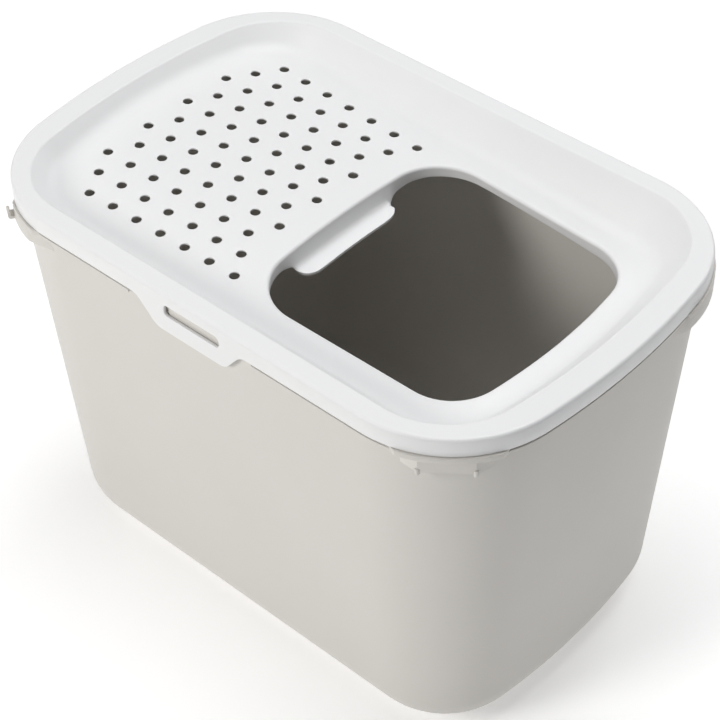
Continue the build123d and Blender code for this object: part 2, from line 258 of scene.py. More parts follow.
def thicken(body, thickness, drop=lambda point: None, inner_slot=0):
    """Give an open skin a wall on its inner side, close its rims and mark them for a bevel.

    Where drop gives a depth, the wall goes straight down by it. The inner side gets its own material slot;
    on the bin that slot holds a colour darkened as painted shade.
    """
    weight = body.edges.layers.float.new("bevel_weight_edge")
    body.normal_update()
    skin_faces, skin_verts = list(body.faces), list(body.verts)
    rims = [e for e in body.edges if e.is_boundary]
    under = {}
    for v in skin_verts:
        depth = drop(v.co)
        if depth:
            offset = Vector((0, 0, -depth))
        else:
            offset = -v.normal * thickness * min(v.calc_shell_factor(), 1.6)
        under[v] = body.verts.new(v.co + offset)
    for face in skin_faces:
        body.faces.new([under[v] for v in reversed(face.verts)]).material_index = inner_slot
    for edge in rims:
        loop = edge.link_loops[0]
        a, b = loop.vert, loop.link_loop_next.vert
        body.faces.new((b, a, under[a], under[b]))
        edge[weight] = body.edges.get((under[a], under[b]))[weight] = 1.0
    return body


def faces_out(body, hint):
    """Turn the whole skin over if its faces point against the hint, a direction for each face."""
    total = sum(f.normal.dot(hint(f.calc_center_median())) * f.calc_area() for f in body.faces)
    if total < 0:
        bmesh.ops.reverse_faces(body, faces=body.faces)
    return body


# %% Finish a piece
def finish_piece(name, body, materials, body_name, bevel=0.5, replaces=()):
    """Make the object in metres, bevel its marked edges, and let it ride on its body."""
    body.transform(Matrix.Scale(MM, 4))
    rough = bpy.data.meshes.new(name + "_rough")
    body.to_mesh(rough)
    body.free()
    piece = bpy.data.objects.new(name, rough)
    scene.collection.objects.link(piece)
    if bevel:
        edge = piece.modifiers.new("soft edges", "BEVEL")
        edge.limit_method, edge.width, edge.segments = "WEIGHT", bevel * MM, 2
        edge.use_clamp_overlap = True
    baked = bpy.data.meshes.new_from_object(piece.evaluated_get(bpy.context.evaluated_depsgraph_get()))
    piece.modifiers.clear()
    piece.data = baked
    baked.name = name
    bpy.data.meshes.remove(rough)
    baked.polygons.foreach_set("use_smooth", [True] * len(baked.polygons))
    baked.set_sharp_from_angle(angle=radians(38))
    baked.materials.clear()
    for material in materials if isinstance(materials, tuple) else (materials,):
        baked.materials.append(material)
    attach(piece, body_name)
    if replaces:
        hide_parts(*replaces)
    loose = sum(1 for v in baked.vertices if v.co.z < -1e-4)
    triangles = sum(len(p.vertices) - 2 for p in baked.polygons)
    print(f"{name}: {triangles} triangles, {loose} points under the floor")
    return piece


# %% [markdown]
# ## The plastics
# Both mouldings have a fine satin skin: a very soft sheen, a texture too small to see as dots, and
# a faint unevenness in the gloss. Each finish is built from noise on Object coordinates, so it stays
# put on the piece. The sheen's own constants are set on the shader itself. The bin's inside is
# painted a little darker and warmer: painted shade, standing in for the shade and warm bounced light deep in
# the tub.

# %% Make a moulded plastic
def moulded_plastic(name, colour, tint, roughness, grain=0.02, haze=0.05):
    """Satin plastic: colour drifts slightly towards a tint, and the gloss is a little uneven."""
    material = bpy.data.materials.new(name)
    material.use_nodes = True
    nodes, links = material.node_tree.nodes, material.node_tree.links
    shader = nodes["Principled BSDF"]
    place = nodes.new("ShaderNodeTexCoord")
    drift = nodes.new("ShaderNodeTexNoise")
    drift.inputs["Scale"].default_value = 9.0
    drift.inputs["Detail"].default_value = 3.0
    links.new(place.outputs["Object"], drift.inputs["Vector"])
    mix = nodes.new("ShaderNodeMix")
    mix.data_type = "RGBA"
    colour_a, colour_b = mix.inputs[6], mix.inputs[7]
    colour_a.default_value = (*colour, 1)
    colour_b.default_value = (*tint, 1)
    links.new(drift.outputs["Fac"], mix.inputs["Factor"])
    links.new(mix.outputs[2], shader.inputs["Base Color"])
    gloss = nodes.new("ShaderNodeMapRange")
    gloss.inputs["To Min"].default_value = roughness - haze
    gloss.inputs["To Max"].default_value = roughness + haze
    links.new(drift.outputs["Fac"], gloss.inputs["Value"])
    links.new(gloss.outputs["Result"], shader.inputs["Roughness"])
    speckle = nodes.new("ShaderNodeTexNoise")
    speckle.inputs["Scale"].default_value = 900.0
    speckle.inputs["Detail"].default_value = 2.0
    links.new(place.outputs["Object"], speckle.inputs["Vector"])
    bump = nodes.new("ShaderNodeBump")
    bump.inputs["Strength"].default_value = grain
    bump.inputs["Distance"].default_value = 0.0004
    links.new(speckle.outputs["Fac"], bump.inputs["Height"])
    links.new(bump.outputs["Normal"], shader.inputs["Normal"])
    shader.inputs["IOR"].default_value = 1.49
    shader.inputs["Specular IOR Level"].default_value = 0.42
    return material


lid_white = moulded_plastic("lid_white", (0.86, 0.86, 0.86), (0.83, 0.835, 0.84), 0.42)
bin_grey = moulded_plastic("bin_warm_grey", (0.69, 0.665, 0.63), (0.66, 0.64, 0.60), 0.48)
# painted shade: the inside colour is darker and warmer to stand in for the shade and bounced light in the
# deep tub
bin_inside_painted_shade = moulded_plastic("bin_inside_painted_shade", (0.59, 0.545, 0.475), (0.56, 0.52, 0.455), 0.5)
pin_white = moulded_plastic("pin_white", (0.74, 0.74, 0.73), (0.70, 0.70, 0.69), 0.35)
print("finishes", [m.name for m in (lid_white, bin_grey, bin_inside_painted_shade, pin_white)])

# %% [markdown]
# ## The vents
# Seventy-seven small holes are punched through the deck, each at the bottom of a shallow dimple.
# They follow a rule: eleven rows of seven, every other row half a pitch over, and the rows drawing
# slightly together towards the entry. Rules are what Geometry Nodes are for, so the tree below puts
# one collar at each place and then lays the whole field onto the arched deck.

# %% Build the vent tree
def new_tree(name, sockets):
    """A geometry tree with a geometry input and output and the named inputs given."""
    tree = bpy.data.node_groups.new(name, "GeometryNodeTree")
    tree.interface.new_socket("Geometry", in_out="INPUT", socket_type="NodeSocketGeometry")
    for label, kind, value in sockets:
        socket = tree.interface.new_socket(label, in_out="INPUT", socket_type="NodeSocket" + kind)
        if value is not None:
            socket.default_value = value
    tree.interface.new_socket("Geometry", in_out="OUTPUT", socket_type="NodeSocketGeometry")
    source, sink = tree.nodes.new("NodeGroupInput"), tree.nodes.new("NodeGroupOutput")
    return tree, source, sink


def reckon(tree, operation, first, second=None):
    """One math node; its inputs may be numbers or sockets."""
    node = tree.nodes.new("ShaderNodeMath")
    node.operation = operation
    for socket, value in zip(node.inputs, (first, second)):
        if isinstance(value, (int, float)):
            socket.default_value = value
        elif value is not None:
            tree.links.new(value, socket)
    return node.outputs[0]


def run_tree(piece, tree, values):
    """Evaluate a tree on an object, with inputs by name, and return the plain mesh."""
    modifier = piece.modifiers.new(tree.name, "NODES")
    modifier.node_group = tree
    for item in tree.interface.items_tree:
        if item.item_type == "SOCKET" and item.in_out == "INPUT" and item.name in values:
            modifier[item.identifier] = values[item.name]
    mesh = bpy.data.meshes.new_from_object(piece.evaluated_get(bpy.context.evaluated_depsgraph_get()))
    piece.modifiers.clear()
    return mesh


vents, vents_in, sink = new_tree("vent field", [
    ("Collar", "Object", None), ("Rows", "Int", 11), ("Vents per row", "Int", 7),
    ("Pitch", "Float", 27.9), ("Row spacing", "Float", 23.6), ("Row fan", "Float", 0.008),
    ("First vent", "Float", -196.0), ("Plastic", "Material", None)])
given = vents_in.outputs
sums = partial(reckon, vents)
index = vents.nodes.new("GeometryNodeInputIndex").outputs[0]
row = sums("FLOOR", sums("DIVIDE", index, given["Vents per row"]))
step = sums("MODULO", index, given["Vents per row"])
middle_row = sums("DIVIDE", sums("SUBTRACT", given["Rows"], 1.0), 2.0)
middle_step = sums("DIVIDE", sums("SUBTRACT", given["Vents per row"], 1.0), 2.0)
from_middle = sums("SUBTRACT", row, middle_row)
# of the inner rows, every other one starts half a pitch before the outer rows, the rest a whole one
shift = sums("SUBTRACT", sums("MULTIPLY", sums("MODULO", row, 2.0), 0.5), 1.0)
inner_row = sums("LESS_THAN", sums("ABSOLUTE", from_middle), sums("SUBTRACT", middle_row, 0.5))
along = sums("MULTIPLY", sums("ADD", step, sums("MULTIPLY", shift, inner_row)), given["Pitch"])
x_place = sums("ADD", given["First vent"], along)
past_middle = sums("SUBTRACT", along, sums("MULTIPLY", given["Pitch"], middle_step))
spacing = sums("SUBTRACT", given["Row spacing"], sums("MULTIPLY", given["Row fan"], past_middle))
y_place = sums("MULTIPLY", from_middle, spacing)
place = vents.nodes.new("ShaderNodeCombineXYZ")
vents.links.new(x_place, place.inputs["X"])
vents.links.new(y_place, place.inputs["Y"])
dots = vents.nodes.new("GeometryNodePoints")
vents.links.new(sums("MULTIPLY", given["Rows"], given["Vents per row"]), dots.inputs["Count"])
vents.links.new(place.outputs[0], dots.inputs["Position"])
collar_info = vents.nodes.new("GeometryNodeObjectInfo")
vents.links.new(given["Collar"], collar_info.inputs["Object"])
on_dots = vents.nodes.new("GeometryNodeInstanceOnPoints")
vents.links.new(dots.outputs[0], on_dots.inputs["Points"])
vents.links.new(collar_info.outputs["Geometry"], on_dots.inputs["Instance"])
real = vents.nodes.new("GeometryNodeRealizeInstances")
vents.links.new(on_dots.outputs[0], real.inputs[0])
# the deck's height at each point of the collars, by the same sum as deck_height
where = vents.nodes.new("ShaderNodeSeparateXYZ")
vents.links.new(vents.nodes.new("GeometryNodeInputPosition").outputs[0], where.inputs[0])
y_squared = sums("MULTIPLY", where.outputs["Y"], where.outputs["Y"])
chord = sums("SQRT", sums("SUBTRACT", deck_radius**2, y_squared))
sag = sums("DIVIDE", sums("SUBTRACT", deck_radius, chord), cos(deck_tilt))
fall = sums("ADD", sums("MULTIPLY", where.outputs["X"], tan(deck_tilt)), sag)
lift = vents.nodes.new("ShaderNodeCombineXYZ")
vents.links.new(sums("SUBTRACT", deck_z, fall), lift.inputs["Z"])
laid = vents.nodes.new("GeometryNodeSetPosition")
vents.links.new(real.outputs[0], laid.inputs["Geometry"])
vents.links.new(lift.outputs[0], laid.inputs["Offset"])
painted = vents.nodes.new("GeometryNodeSetMaterial")
vents.links.new(laid.outputs[0], painted.inputs["Geometry"])
vents.links.new(given["Plastic"], painted.inputs["Material"])
vents.links.new(painted.outputs[0], sink.inputs[0])
print("vent tree:", len(vents.nodes), "nodes")

# %% [markdown]
# One collar is a few rings of points: the dimple's soft outer edge, its floor, and the rounded lip
# of the hole. It is flat for now, because the tree bends it onto the deck.

# %% Make the vents
vent_sides, dimple_radius, vent_radius = 24, 10.6, 4.55
vent_rings = [(dimple_radius, 0.0), (9.3, -0.06), (7.9, -0.18), (6.6, -0.28),      # radius and level
              (5.4, -0.30), (4.9, -0.34), (4.65, -0.46), (vent_radius, -0.7)]
collar_points = [(radius * cos(2 * pi * i / vent_sides), radius * sin(2 * pi * i / vent_sides), level)
                 for radius, level in vent_rings for i in range(vent_sides)]
collar_faces = [(r * vent_sides + i, r * vent_sides + (i + 1) % vent_sides,
                 (r + 1) * vent_sides + (i + 1) % vent_sides, (r + 1) * vent_sides + i)
                for r in range(len(vent_rings) - 1) for i in range(vent_sides)]
collar_mesh = bpy.data.meshes.new("vent_collar")
collar_mesh.from_pydata(collar_points, [], collar_faces)
collar = bpy.data.objects.new("vent_collar", collar_mesh)
field = bpy.data.objects.new("vent_field", bpy.data.meshes.new("vent_field"))
for helper in (collar, field):
    scene.collection.objects.link(helper)
field_mesh = run_tree(field, vents, {"Collar": collar, "Plastic": lid_white})
vent_points = np.array([v.co for v in field_mesh.vertices])
vent_faces = [tuple(p.vertices) for p in field_mesh.polygons]
per_vent = len(collar_points)
vent_count = len(vent_points) // per_vent
dimple_rims = [vent_points[v * per_vent:v * per_vent + vent_sides, :2] for v in range(vent_count)]
for helper in (collar, field):
    bpy.data.objects.remove(helper)
print("vents:", vent_count)

# %% [markdown]
# ## The lid's tray
# From the skirt's lower edge the skin runs up, over a small round onto the flat crest, down a
# steep cove and through a soft blend into the deck. In each upright section that is the same few
# lines and arcs, but the deck slopes and arches, so the cove is deeper at some places than at
# others. Sweeping one profile couldn't do that. The section is worked out at each point of the
# outline instead, and the sections are joined into rings.

# %% Section the rim of the tray
edge_steps, round_steps, blend_steps = 6, 4, 8     # in the skirt's edge, the crest's round, the blend
flat_margin, deck_run = 0.6, 5.0                   # flat left beside a round; run that gives the slope


def ring(points, level):
    return [(x, y, level) for x, y in points]


rows = [ring(lid_points, skirt_bottom), ring(lid_points, height - skirt_edge)]
for turn_step in range(1, edge_steps + 1):
    angle = turn_step / edge_steps * pi / 2
    inset = skirt_edge * (1 - cos(angle))
    rows.append(ring(lid_points - lid_outward * inset, height - skirt_edge * (1 - sin(angle))))
rows.append(ring(lid_points - lid_outward * (skirt_edge + flat_margin), height))

crest_points, crest_outward = bowed_outline(crest_plan)
slope = pi / 2 - cove_lean                         # how far the cove turns down from level
tangent = crest_round * tan(slope / 2)
rows.append([(*(p + n * (tangent + flat_margin)), height) for p, n in zip(crest_points, crest_outward)])
for turn_step in range(round_steps + 1):
    angle = turn_step / round_steps * slope
    run = -tangent + crest_round * sin(angle)
    drop = crest_round * (1 - cos(angle))
    rows.append([(*(p - n * run), height - drop) for p, n in zip(crest_points, crest_outward)])

# where the cove's line meets the deck, and the arc that blends the two
columns = []
for p, n in zip(crest_points, crest_outward):
    inward = -n
    low, high = 0.0, 60.0
    for _ in range(40):
        drop = (low + high) / 2
        at = p + inward * drop * tan(cove_lean)
        low, high = (drop, high) if height - drop > deck_height(*at) else (low, drop)
    meet = np.array([drop * tan(cove_lean), height - drop])
    a, b = p + inward * meet[0], p + inward * (meet[0] + deck_run)
    deck_angle = atan((deck_height(*b) - deck_height(*a)) / deck_run)
    down_cove = np.array([sin(cove_lean), -cos(cove_lean)])
    turned = deck_angle + slope
    reach = cove_blend * tan(turned / 2)
    start = meet - down_cove * reach
    centre = start + cove_blend * np.array([cos(cove_lean), sin(cove_lean)])
    column = []
    for turn_step in range(blend_steps + 1):
        angle = -slope + turned * turn_step / blend_steps - pi / 2
        run, level = centre + cove_blend * np.array([cos(angle), sin(angle)])
        column.append((*(p + inward * run), level))
    last = column[-1]
    column[-1] = (last[0], last[1], float(deck_height(last[0], last[1])))
    columns.append(column)
rows += [[column[k] for column in columns] for k in range(blend_steps + 1)]
deck_edge = np.array([column[-1][:2] for column in columns])
print("tray rings:", len(rows), "deck spans", np.ptp(deck_edge, axis=0).round(1), "mm")

# %% [markdown]
# ## The deck and the turned-down lip
# The deck is filled between the cove, the entry opening and the rims of the dimples. Round the
# opening its edge turns down as a lip, and on the side towards the vents that lip runs on down and
# curls in to a shelf that a hand can pull. The lip and the shelf are one surface, so they are drawn as
# one strip, flat at first: t runs round the opening and s runs down the lip. Its lower edge is
# drawn with its curves, and the strip is then bent to shape.

# %% Draw the opening's edge
vent_end, lid_end = entry_x - entry_half, entry_x + entry_half
bow_x = (vent_end + entry_bows[0], lid_end - entry_bows[1])          # middles of the two bows


def bow_at(x, radius, way, y):
    return np.array([x + way * sqrt(radius**2 - y * y), y])


side_start = bow_at(bow_x[0], entry_bows[0], -1, entry_wide)
side_end = bow_at(bow_x[1], entry_bows[1], 1, entry_narrow)
side_way = (side_end - side_start) / np.linalg.norm(side_end - side_start)
side_out = np.array([-side_way[1], side_way[0]])


def corner_circle(end, way):
    """Middle of a corner's circle, which touches the bowed end and the long side from inside."""
    first = side_start - side_out * entry_corners[end]
    from_bow = first - np.array([bow_x[end], 0.0])
    along = from_bow @ side_way
    inner_radius = entry_bows[end] - entry_corners[end]
    return first + side_way * (way * sqrt(along**2 - from_bow @ from_bow + inner_radius**2) - along)


near_vents, near_end = corner_circle(0, -1), corner_circle(1, 1)
touch = [float(np.arctan2(c[1], c[0] - x)) for c, x in zip((near_vents, near_end), bow_x)]
side_turn = float(np.arctan2(side_out[1], side_out[0]))
side_run = float((near_end - near_vents) @ side_way)
# half of the edge, from the grip's side round to the lid's end: middle, radius, first angle, length
half_edge = [((bow_x[0], 0.0), entry_bows[0], pi, entry_bows[0] * (pi - touch[0])),
             (near_vents, entry_corners[0], touch[0], entry_corners[0] * (touch[0] - side_turn)),
             (near_vents + side_out * entry_corners[0], None, side_turn, side_run),
             (near_end, entry_corners[1], side_turn, entry_corners[1] * (side_turn - touch[1])),
             ((bow_x[1], 0.0), entry_bows[1], touch[1], entry_bows[1] * touch[1])]
lap = 2 * sum(part[3] for part in half_edge)


def on_opening(t):
    """Place on the edge and the direction into it, t mm from the middle of the grip's side."""
    t = (t + lap / 2) % lap - lap / 2
    run = abs(t)
    for middle, radius, angle, length in half_edge:
        if run <= length:
            break
        run -= length
    if radius:
        angle -= run / radius
    outward = np.array([cos(angle), sin(angle)])
    place = middle + (outward * radius if radius else side_way * run)
    mirror = np.array([1.0, -1.0 if t > 0 else 1.0])
    return place * mirror, -outward * mirror


print("opening:", round(lap, 1), "mm round")

# %% Bend the lip and the hand grip
lip_round, grip_lean, grip_bend, shelf_z = 3.0, radians(13), 6.05, 353.15
grip_middle, grip_half, grip_reach, grip_fade = 4.5, 59.0, 22.1, 14
past_strip = 40                                    # longer than the lip, so that it never bends in


def lip_point(t, s):
    """A point s mm down the lip at t: a shoulder, a wall that leans more at the grip, then a shelf."""
    edge, inward = on_opening(t)
    share = min(1.0, max(0.0, (grip_half + grip_fade - abs(t - grip_middle)) / grip_fade))
    lean = grip_lean * share * share * (3 - 2 * share)
    top = float(deck_height(*edge))
    turned = min(s / lip_round, pi / 2 - lean)
    u, d = lip_round * sin(turned), lip_round * (1 - cos(turned))
    left = s - lip_round * turned
    wall_run = (top - shelf_z - (lip_round + grip_bend) * (1 - sin(lean))) / cos(lean)
    wall_run += past_strip * (1 - share)
    run = min(left, wall_run)
    u, d, left = u + run * sin(lean), d + run * cos(lean), left - run
    turned = min(left / grip_bend, pi / 2 - lean)
    u += grip_bend * (cos(lean) - cos(lean + turned))
    d += grip_bend * (sin(lean + turned) - sin(lean))
    u += left - grip_bend * turned
    x, y = edge + inward * u
    return (x, y, top - d)


def smooth_line(points, reach):
    """A soft curve through points: each run leans on the points before and after it."""
    out, last = [], len(points) - 1
    for i in range(last):
        p0, p1, p2, p3 = (np.array(points[min(max(k, 0), last)], float) for k in range(i - 1, i + 3))
        steps = max(1, round(float(np.linalg.norm(p2 - p1)) / reach))
        for a in np.arange(steps) / steps:
            out.append(tuple(0.5 * (2 * p1 + (p2 - p0) * a + (2 * p0 - 5 * p1 + 4 * p2 - p3) * a**2
                                    + (3 * p1 - p0 - 3 * p2 + p3) * a**3)))
    return out + [tuple(points[-1])]


shelf_s = next(s for s in np.arange(25, 45, 0.05)
               if hypot(*(np.array(lip_point(0, s)[:2]) - on_opening(0)[0])) > grip_reach)
print("shelf's edge is", round(float(shelf_s), 1), "mm down the strip")

# %% Cut the strip for the lip and its hand grip
# the lip's lower edge, as t and s: shallow all round, and deep at the grip
strip_step, steps_round = 2.2, 212
lower = smooth_line([(-lap / 2, 12.7), (-300, 13.2), (-262, 12.0), (-225, 11.0), (-170, 10.6),
                     (-125, 12.2), (-98, 13.1), (-81, 14.6), (-67, 17.2), (-59.5, 20.8), (-55, 25.6),
                     (-50.3, 30.2), (-43.5, 33.5), (-33, shelf_s), (-15, shelf_s), (20, shelf_s),
                     (44, shelf_s), (53, 34.0), (59.5, 30.6), (62.8, 26.0), (63.8, 21.0), (64.6, 17.6),
                     (67.5, 15.4), (74, 14.4), (84, 13.7), (100, 12.9), (130, 12.2), (190, 11.4),
                     (260, 11.5), (300, 12.2), (lap / 2, 12.7)], strip_step)
stops = [-lap / 2 + lap * i / steps_round for i in range(steps_round + 1)]
ends = [strip_step * k for k in (4, 3, 2, 1)]
loop = [(t, 0.0) for t in stops] + [(lap / 2, s) for s in reversed(ends)] + lower[::-1]
loop += [(-lap / 2, s) for s in ends]
levels = [0.8, 1.6, 2.4, 3.2, 4.0, 4.8, 6.6, 8.6, 10.4]
inner = [(t, s) for t in stops[1:-1] for s in levels]
inner += [(t, s) for t in np.arange(-78, 80, 2.5) for s in np.arange(12.0, 35.0, 1.25)]   # the grip
strip_points, strip_faces = fill(loop, (), inner, keep_off=0.55)
lip_points = [lip_point(t, s) for t, s in strip_points]
opening_loop = [tuple(on_opening(t)[0]) for t in stops[:-1]]
print("lip strip:", len(lip_points), "points")

# %% [markdown]
# ## The front of the skirt with its latch
# The tab that hooks over the bin is a tongue of the skirt's own wall, with a long slot in it. The
# outline runs round the tongue with its two hollow root curves and the slot is one more hole.
# It all lies in the plane of the lid's straight front, so it is filled flat.

# %% Draw the front panel
latch_x, latch_top, latch_left, latch_right = -7.0, 59.0, 37.0, 40.5
tab_bottom = skirt_bottom - 22.3
slot_x, slot_half, slot_level, slot_rise = -2.5, 31.0, height - 16.4, 5.7
front_y = -lid_plan[1]
panel_reach = (-108, 98)
kept = [x for x in lid_points[:side_steps, 0] if panel_reach[0] < x < panel_reach[1]]
front_left, front_right = min(kept), max(kept)
outline = rounded([(front_left, skirt_bottom), (latch_x - latch_top, skirt_bottom),
                   (latch_x - latch_left, tab_bottom), (latch_x + latch_right, tab_bottom),
                   (latch_x + latch_top, skirt_bottom), (front_right, skirt_bottom)],
                  [0, 14, 16, 14, 14, 0], reach=1.2)
top = [(x, height - skirt_edge) for x in reversed(kept)]
slot = rounded([(slot_x - slot_half, slot_level - slot_rise), (slot_x + slot_half, slot_level - slot_rise),
                (slot_x + slot_half, slot_level + slot_rise), (slot_x - slot_half, slot_level + slot_rise)],
               [4.2] * 4, reach=0.8)
grid = [(x, z) for x in np.arange(-94, 86, 4.0) for z in np.arange(357, 391, 3.0)]
panel_points, panel_faces = fill(outline + top, [slot], grid, keep_off=1.6)
panel = [(x, front_y, z) for x, z in panel_points]
skirt_open = [c for c in range(side_steps) if front_left - 0.01 <= lid_points[c][0] < front_right - 0.01]
print("front panel:", len(panel), "points between", round(front_left, 1), "and", round(front_right, 1))

# %% Join the lid's skin
lid = Skin()
lid.strip(rows[:2], skip=lambda column: column in skirt_open)
lid.strip(rows[1:])
lid.add(panel, panel_faces)
lid.add(vent_points, vent_faces)
grid = [(x + (3.5 if j % 2 else 0), y) for j, y in enumerate(np.arange(-170, 170, 6.1))
        for x in np.arange(-280, 280, 7.0)]
deck_points, deck_faces = fill(deck_edge, [opening_loop, *dimple_rims], grid, keep_off=2.6)
lid.add([(x, y, float(deck_height(x, y))) for x, y in deck_points], deck_faces)
lid.add(lip_points, strip_faces)
lid_body = lid.weld()
faces_out(lid_body, lambda at: Vector((0, 0, 1)))
opened = sum(1 for e in lid_body.edges if e.is_boundary)
odd = sum(1 for e in lid_body.edges if len(e.link_faces) > 2)
print("lid skin:", len(lid_body.faces), "faces,", opened, "free edges,", odd, "odd edges")
vent_centres = np.array([rim.mean(0) for rim in dimple_rims])
web_thickness, web_inner, web_outer, below_crest = 1.2, 5, 8, 380


def web(point):
    """The deck is thinned from below round each vent, so its hole is a crisp edge."""
    from_vent = float(np.min(np.hypot(*(vent_centres - point.xy).T)))
    if point.z < below_crest and from_vent < web_outer:
        share = min(1.0, max(0.0, (from_vent - web_inner) / (web_outer - web_inner)))
        return web_thickness + (wall - web_thickness) * share


thicken(lid_body, wall, drop=web)
finish_piece("lid_moulding", lid_body, lid_white, "lid_body", bevel=0.45,
             replaces=("lid",))

# %% [markdown]
# ## The bin's wall
# The bin is a tub with a bowed, round-cornered outline that shrinks towards the floor and a broad
# round foot. Each upright section is two straight lines joined by an arc that touches both, so it is
# made like the lid's tray: one section at each point of the outline, joined into rings, with a
# fill for the floor.

# %% Section the tub
rim_points, _ = bowed_outline(bin_top_plan)
base_points, base_outward = bowed_outline(bin_base_plan)
wall_steps, foot_steps = 10, 14
tub_columns = []
for top_point, base_point, n in zip(rim_points, base_points, base_outward):
    lean_in = float((top_point - base_point) @ n)
    wall_angle = atan(bin_top / lean_in)
    reach = bin_foot * tan(wall_angle / 2)
    up_wall = np.array([*(top_point - base_point), bin_top])
    up_wall /= np.linalg.norm(up_wall)
    foot_top = np.array([*base_point, 0.0]) + up_wall * reach
    foot_low = np.array([*(base_point - n * reach), 0.0])
    column = [np.array([*top_point, bin_top])]
    column += [column[0] + (foot_top - column[0]) * k / wall_steps for k in range(1, wall_steps)]
    corner = np.array([*base_point, 0.0])
    weight = cos(wall_angle / 2)
    for k in range(foot_steps + 1):
        # the arc that touches both lines, as a rational curve of the second degree
        share = k / foot_steps
        a, b, c = (1 - share)**2, 2 * weight * share * (1 - share), share**2
        column.append((a * foot_top + b * corner + c * foot_low) / (a + b + c))
    tub_columns.append(column)
tub_rows = [[tuple(column[k]) for column in tub_columns] for k in range(len(tub_columns[0]))]
tub = Skin().strip(tub_rows)
floor_edge = np.array([p[:2] for p in tub_rows[-1]])
floor_grid = [(x, y) for x in np.arange(-210, 211, 14) for y in np.arange(-110, 111, 14)]
floor_points, floor_faces = fill(floor_edge, (), floor_grid, keep_off=5)
tub.add([(x, y, 0.0) for x, y in floor_points], floor_faces)
tub_body = tub.weld()
faces_out(tub_body, lambda at: Vector((at.x, at.y, at.z - 250)))
# the inner side takes the second slot, whose colour is darkened as painted shade
thicken(tub_body, wall, inner_slot=1)
finish_piece("bin_tub", tub_body, (bin_grey, bin_inside_painted_shade), "bin_body", bevel=0.7,
             replaces=("bin",))

# %% [markdown]
# ## Ribs, grips and hinge parts
# What else is moulded on is made of plates: an outline filled flat and given a depth. The rim lugs,
# the hinge ears and the lid's arms come in mirrored pairs. One of each is drawn, and a small
# Geometry Nodes tree mirrors it. Mirroring turns faces inside out, so the tree flips them back.

# %% Mirror with a tree, and make plates
mirrored, given_in, sink = new_tree("mirrored copies", [
    ("Across the length", "Float", -1.0), ("Across the width", "Float", 1.0),
    ("Plastic", "Material", None)])
flip = mirrored.nodes.new("GeometryNodeTransform")
factors = mirrored.nodes.new("ShaderNodeCombineXYZ")
mirrored.links.new(given_in.outputs["Across the length"], factors.inputs["X"])
mirrored.links.new(given_in.outputs["Across the width"], factors.inputs["Y"])
factors.inputs["Z"].default_value = 1.0
mirrored.links.new(given_in.outputs["Geometry"], flip.inputs["Geometry"])
mirrored.links.new(factors.outputs[0], flip.inputs["Scale"])
turned_back = mirrored.nodes.new("GeometryNodeFlipFaces")
mirrored.links.new(flip.outputs[0], turned_back.inputs[0])
both = mirrored.nodes.new("GeometryNodeJoinGeometry")
mirrored.links.new(given_in.outputs["Geometry"], both.inputs[0])
mirrored.links.new(turned_back.outputs[0], both.inputs[0])
whole = mirrored.nodes.new("GeometryNodeRealizeInstances")
mirrored.links.new(both.outputs[0], whole.inputs[0])
coloured = mirrored.nodes.new("GeometryNodeSetMaterial")
mirrored.links.new(whole.outputs[0], coloured.inputs["Geometry"])
mirrored.links.new(given_in.outputs["Plastic"], coloured.inputs["Material"])
mirrored.links.new(coloured.outputs[0], sink.inputs[0])


def with_mirror_image(body, along_x, along_y, plastic):
    """The same bmesh with its mirror image added by the tree."""
    mesh = bpy.data.meshes.new("one_side")
    body.to_mesh(mesh)
    body.free()
    helper = bpy.data.objects.new("one_side", mesh)
    scene.collection.objects.link(helper)
    made = run_tree(helper, mirrored, {"Across the length": -1.0 if along_x else 1.0,
                                       "Across the width": -1.0 if along_y else 1.0, "Plastic": plastic})
    bpy.data.objects.remove(helper)
    bpy.data.meshes.remove(mesh)
    body = bmesh.new()
    body.from_mesh(made)
    bpy.data.meshes.remove(made)
    return body


def plate(body, outline, low, high, place, holes=()):
    """Add a closed plate: a flat outline between two depths, put in place by a function of u, v, w."""
    flat, faces = fill(outline, holes)
    near = [body.verts.new(place(u, v, low)) for u, v in flat]
    far = [body.verts.new(place(u, v, high)) for u, v in flat]
    new = [body.faces.new([near[i] for i in reversed(face)]) for face in faces]
    new += [body.faces.new([far[i] for i in face]) for face in faces]
    first = 0
    for loop in (outline, *holes):
        count = len(loop)
        for i in range(count):
            a, b = first + i, first + (i + 1) % count
            new.append(body.faces.new((near[a], near[b], far[b], far[a])))
        first += count
    bmesh.ops.recalc_face_normals(body, faces=new)


def soften_corners(body, sharper_than=32):
    """Mark the edges that a mould would leave slightly round."""
    layers = body.edges.layers.float
    weight = layers.get("bevel_weight_edge") or layers.new("bevel_weight_edge")
    body.normal_update()
    for edge in body.edges:
        if len(edge.link_faces) == 2 and edge.calc_face_angle(0) > radians(sharper_than):
            edge[weight] = 1.0
    return body


def upright(u, v, w):
    return (u, v, w)


def across(u, v, w):
    """For an outline drawn across the hinge: u is Y, v is Z, and depth runs along X."""
    return (w, u, v)


def circle(x, y, radius, sides):
    angles = [2 * pi * i / sides for i in range(sides)]
    return [(x + radius * cos(angle), y + radius * sin(angle)) for angle in angles]


def hull(points):
    return [tuple(points[i]) for i in convex_hull_2d(points)]


print("mirror tree:", len(mirrored.nodes), "nodes")

# %% [markdown]
# The ledge under the lid runs right round the bin, just behind the skirt's face, with gaps for the
# latch tab and for the lid's two arms. It lies a little low, which leaves the dark line that the
# photograph shows under the skirt. At each corner a round band stands out past the skirt, with a
# grip for the fingers below it. The four corners differ: the bands reach round by different amounts,
# and the front right grip alone has a flat face between two small round stops.

